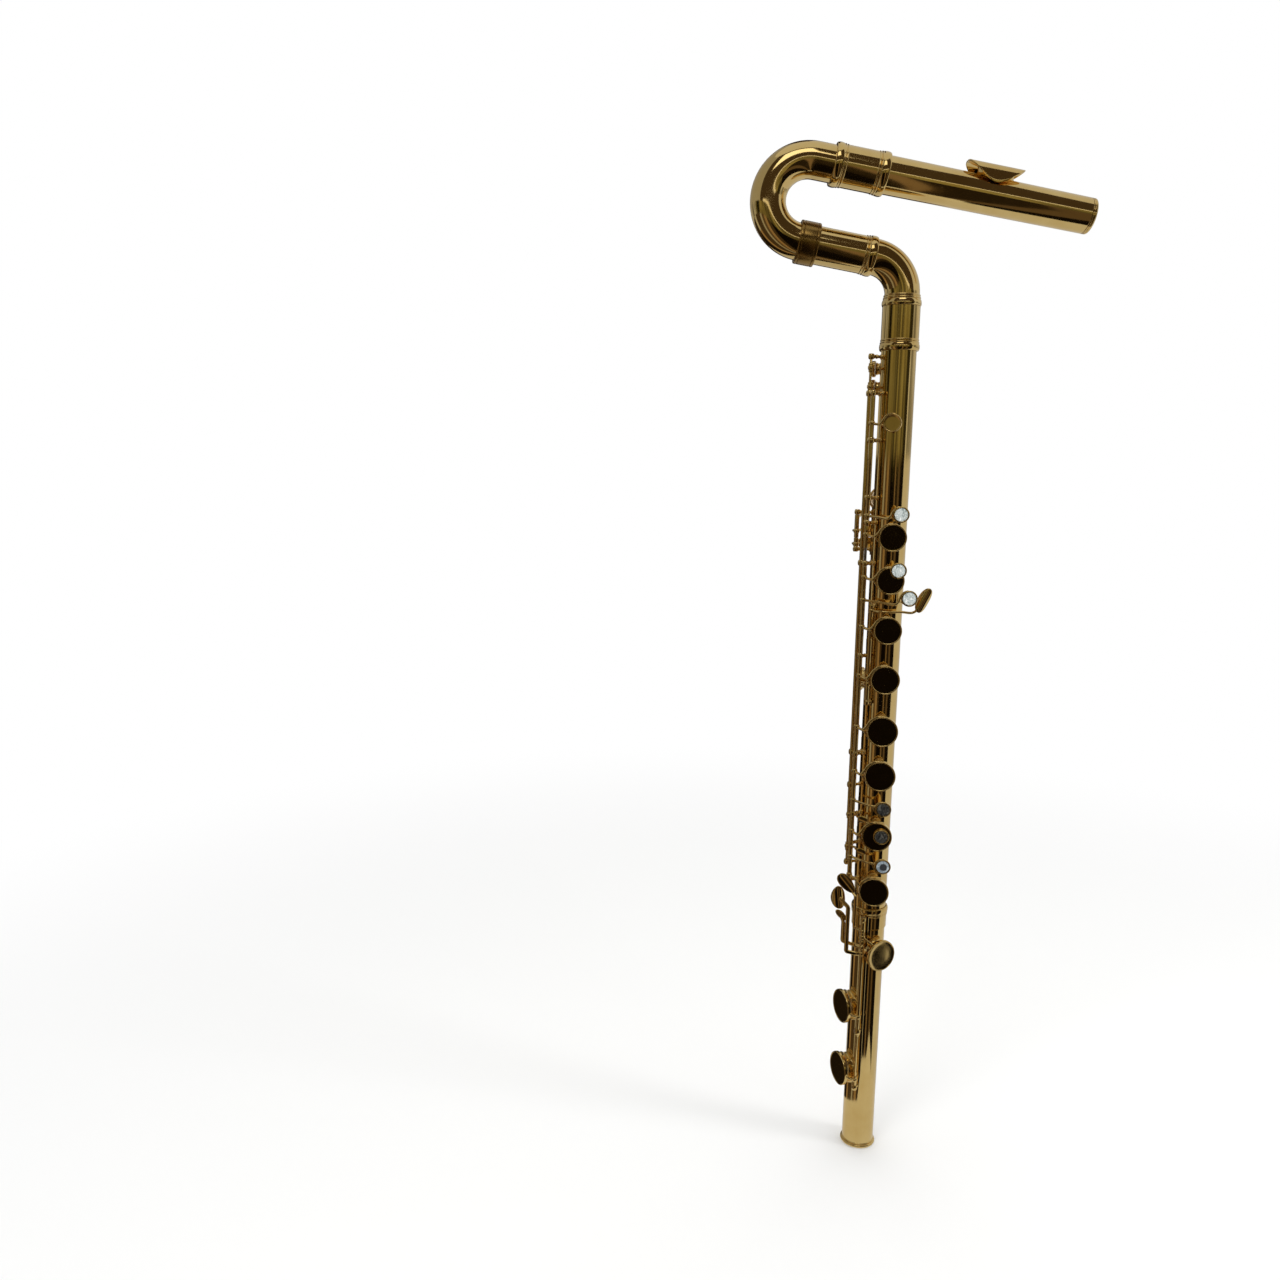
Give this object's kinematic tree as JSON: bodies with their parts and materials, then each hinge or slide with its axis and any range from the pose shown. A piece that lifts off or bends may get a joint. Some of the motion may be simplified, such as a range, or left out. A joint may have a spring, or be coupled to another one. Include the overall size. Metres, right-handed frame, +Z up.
{
  "type": "bass flute",
  "caption": "Upright bass flute: gold tube with a U-bent head, oval lip plate, padded cup keys on hinge rods, finger pearls and foot joint.",
  "frame": {"origin": "centre of the bore's mouth at the foot end of the standing flute", "axes": "+Z up along the body tube to the head, +X towards the crown, -Y the side that the key cups face"},
  "size_m": [0.3098, 0.064, 0.9758],
  "materials": {
    "lacquer": "polished gold lacquer",
    "collar": "satin",
    "rod_steel": "drawn",
    "pad": "matte skin over felt",
    "pearl": "glossy",
    "dark_pearl": "glossy, dark reflection",
    "cork": "plain cork"
  },
  "bodies": {
    "foot": {"foot_tube": "lacquer", "foot_rib_posts": "lacquer", "e_flat_steel": "rod_steel"},
    "body": {"body_tube": "lacquer", "barrel": "lacquer", "main_rib_posts": "lacquer", "thumb_rib_posts": "lacquer", "main_steel_upper": "rod_steel", "main_steel_lower": "rod_steel", "g_sharp_steel": "rod_steel", "thumb_steel": "rod_steel"},
    "head_bend": {"elbow": "lacquer", "neck_sleeve": "lacquer", "bend_collar": "collar", "head_bend": "lacquer", "bend_socket": "lacquer"},
    "head": {"head_tube": "lacquer", "lip_plate": "lacquer"},
    "crown": {"crown": "lacquer"},
    "stopper": {"stopper_screw": "rod_steel", "stopper_cork": "cork"},
    "c_sharp": {"c_sharp_key": "lacquer", "c_sharp_pad": "pad", "c_sharp_pearl": "pearl"},
    "b_flat": {"b_flat_key": "lacquer", "b_flat_pad": "pad"},
    "a": {"a_key": "lacquer", "a_pad": "pad", "a_pearl": "pearl"},
    "g": {"g_key": "lacquer", "g_pad": "pad", "g_pearl": "pearl"},
    "g_lower": {"g_lower_key": "lacquer", "g_lower_pad": "pad"},
    "f_sharp": {"f_sharp_key": "lacquer", "f_sharp_pad": "pad"},
    "f": {"f_key": "lacquer", "f_pad": "pad", "f_pearl": "dark_pearl"},
    "e": {"e_key": "lacquer", "e_pad": "pad", "e_pearl": "dark_pearl"},
    "d": {"d_key": "lacquer", "d_pad": "pad", "d_pearl": "dark_pearl"},
    "g_sharp": {"g_sharp_key": "lacquer", "g_sharp_pad": "pad"},
    "trill_one": {"trill_one_key": "lacquer", "trill_one_pad": "pad"},
    "trill_two": {"trill_two_key": "lacquer", "trill_two_pad": "pad"},
    "thumb": {"thumb_key": "lacquer", "thumb_pad": "pad"},
    "thumb_flat": {"thumb_flat_lever": "lacquer"},
    "low_c_sharp": {"low_c_sharp_key": "lacquer", "low_c_sharp_pad": "pad"},
    "low_c": {"low_c_key": "lacquer", "low_c_pad": "pad"},
    "e_flat": {"e_flat_key": "lacquer", "e_flat_pad": "pad"}
  },
  "joints": [
    {"name": "foot_turn", "type": "hinge", "parent": "foot", "child": "body", "pos_m": [0, 0, 0.248], "axis": [0, 0, 1], "range_deg": [-1, 5]},
    {"name": "head_turn", "type": "hinge", "parent": "body", "child": "head_bend", "pos_m": [0, 0, 0.835], "axis": [0, 0, 1], "continuous": true},
    {"name": "tuning_slide", "type": "slide", "parent": "head_bend", "child": "head", "axis": [0.9848, 0, -0.1736], "range_m": [0, 0.012]},
    {"name": "crown_turn", "type": "hinge", "parent": "head", "child": "crown", "pos_m": [0.16565, 0, 0.91572], "axis": [0.9848, 0, -0.1736], "range_deg": [-360, 360]},
    {"name": "stopper_slide", "type": "slide", "parent": "head", "child": "stopper", "axis": [0.9848, 0, -0.1736], "range_m": [-0.001, 0.001]},
    {"name": "c_sharp_hinge", "type": "hinge", "parent": "body", "child": "c_sharp", "pos_m": [-0.0245, -0.013, 0.698], "axis": [0, 0, 1], "range_deg": [0, 7], "stiffness_Nm_per_rad": 0.05, "springref_deg": -14.32},
    {"name": "b_flat_hinge", "type": "hinge", "parent": "body", "child": "b_flat", "pos_m": [-0.0245, -0.013, 0.626], "axis": [0, 0, 1], "range_deg": [0, 7], "stiffness_Nm_per_rad": 0.05, "springref_deg": -14.32},
    {"name": "a_hinge", "type": "hinge", "parent": "body", "child": "a", "pos_m": [-0.0245, -0.013, 0.586], "axis": [0, 0, 1], "range_deg": [0, 7], "stiffness_Nm_per_rad": 0.05, "springref_deg": -14.32},
    {"name": "g_hinge", "type": "hinge", "parent": "body", "child": "g", "pos_m": [-0.0245, -0.013, 0.545], "axis": [0, 0, 1], "range_deg": [0, 7], "stiffness_Nm_per_rad": 0.05, "springref_deg": -14.32},
    {"name": "g_lower_hinge", "type": "hinge", "parent": "body", "child": "g_lower", "pos_m": [-0.0245, -0.013, 0.496], "axis": [0, 0, 1], "range_deg": [0, 7], "stiffness_Nm_per_rad": 0.05, "springref_deg": -14.32},
    {"name": "f_sharp_hinge", "type": "hinge", "parent": "body", "child": "f_sharp", "pos_m": [-0.0245, -0.013, 0.446], "axis": [0, 0, 1], "range_deg": [0, 7], "stiffness_Nm_per_rad": 0.05, "springref_deg": -14.32},
    {"name": "f_hinge", "type": "hinge", "parent": "body", "child": "f", "pos_m": [-0.0245, -0.013, 0.387], "axis": [0, 0, 1], "range_deg": [0, 7], "stiffness_Nm_per_rad": 0.05, "springref_deg": -14.32},
    {"name": "e_hinge", "type": "hinge", "parent": "body", "child": "e", "pos_m": [-0.0245, -0.013, 0.342], "axis": [0, 0, 1], "range_deg": [0, 7], "stiffness_Nm_per_rad": 0.05, "springref_deg": -14.32},
    {"name": "d_hinge", "type": "hinge", "parent": "body", "child": "d", "pos_m": [-0.0245, -0.013, 0.308], "axis": [0, 0, 1], "range_deg": [0, 7], "stiffness_Nm_per_rad": 0.05, "springref_deg": -14.32},
    {"name": "g_sharp_hinge", "type": "hinge", "parent": "body", "child": "g_sharp", "pos_m": [-0.0165, -0.014, 0.515], "axis": [0, 0, 1], "range_deg": [0, 8], "stiffness_Nm_per_rad": 0.05, "springref_deg": -17.19},
    {"name": "trill_one_hinge", "type": "hinge", "parent": "body", "child": "trill_one", "pos_m": [-0.0265, -0.006, 0.56], "axis": [0, 0, 1], "range_deg": [0, 8], "stiffness_Nm_per_rad": 0.05, "springref_deg": -17.19},
    {"name": "trill_two_hinge", "type": "hinge", "parent": "body", "child": "trill_two", "pos_m": [-0.0265, -0.006, 0.55], "axis": [0, 0, 1], "range_deg": [0, 8], "stiffness_Nm_per_rad": 0.05, "springref_deg": -17.19},
    {"name": "thumb_hinge", "type": "hinge", "parent": "body", "child": "thumb", "pos_m": [-0.0295, 0.008, 0.638], "axis": [0, 0, 1], "range_deg": [-6, 0], "stiffness_Nm_per_rad": 0.05, "springref_deg": 14.32},
    {"name": "thumb_flat_hinge", "type": "hinge", "parent": "body", "child": "thumb_flat", "pos_m": [-0.0295, 0.008, 0.619], "axis": [0, 0, 1], "range_deg": [-6, 0], "stiffness_Nm_per_rad": 0.05, "springref_deg": 14.32},
    {"name": "low_c_sharp_hinge", "type": "hinge", "parent": "foot", "child": "low_c_sharp", "pos_m": [-0.01, -0.0195, 0.17], "axis": [0, 0, 1], "range_deg": [-8, 0], "stiffness_Nm_per_rad": 0.05, "springref_deg": 14.32},
    {"name": "low_c_hinge", "type": "hinge", "parent": "foot", "child": "low_c", "pos_m": [-0.01, -0.0195, 0.147], "axis": [0, 0, 1], "range_deg": [-8, 0], "stiffness_Nm_per_rad": 0.05, "springref_deg": 14.32},
    {"name": "e_flat_hinge", "type": "hinge", "parent": "foot", "child": "e_flat", "pos_m": [-0.01, -0.0195, 0.238], "axis": [0, 0, 1], "range_deg": [-9, 0], "stiffness_Nm_per_rad": 0.05, "springref_deg": 17.19}
  ],
  "couplings": [
    {"joint": "b_flat_hinge", "follows": "a_hinge", "ratio": 1},
    {"joint": "g_lower_hinge", "follows": "g_hinge", "ratio": 1},
    {"joint": "f_sharp_hinge", "follows": "f_hinge", "ratio": 1},
    {"joint": "crown_turn", "follows": "stopper_slide", "rad_per_m": 6283.2}
  ]
}
